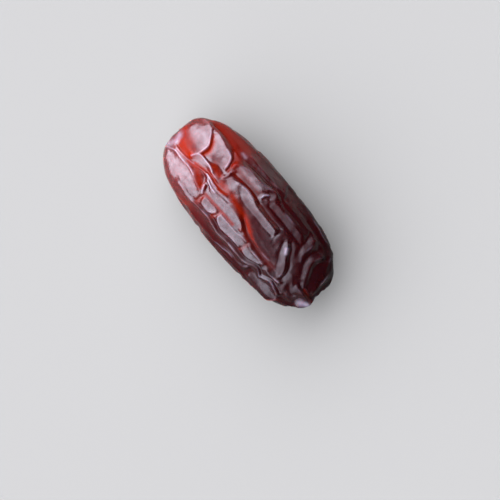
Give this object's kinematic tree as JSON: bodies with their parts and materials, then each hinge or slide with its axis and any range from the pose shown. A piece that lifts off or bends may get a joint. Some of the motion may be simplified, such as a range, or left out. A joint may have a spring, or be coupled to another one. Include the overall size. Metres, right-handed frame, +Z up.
{
  "type": "date fruit",
  "caption": "Ripe date fruit: a long blunt oval with glossy, deeply folded red-brown skin, a puckered stem scar at one end and a small nub at the tip. It lies on a small flat on its underside.",
  "frame": {"origin": "centre of the fruit's outline seen from above, on the surface it lies on", "axes": "+X along the fruit from the stem end to the tip, +Y across it, +Z up"},
  "size_m": [0.0502, 0.0226, 0.0199],
  "materials": {
    "date_skin": "glossy wrinkled skin, slightly translucent"
  },
  "bodies": {
    "root": {"date_fruit": "date_skin"}
  },
  "joints": []
}
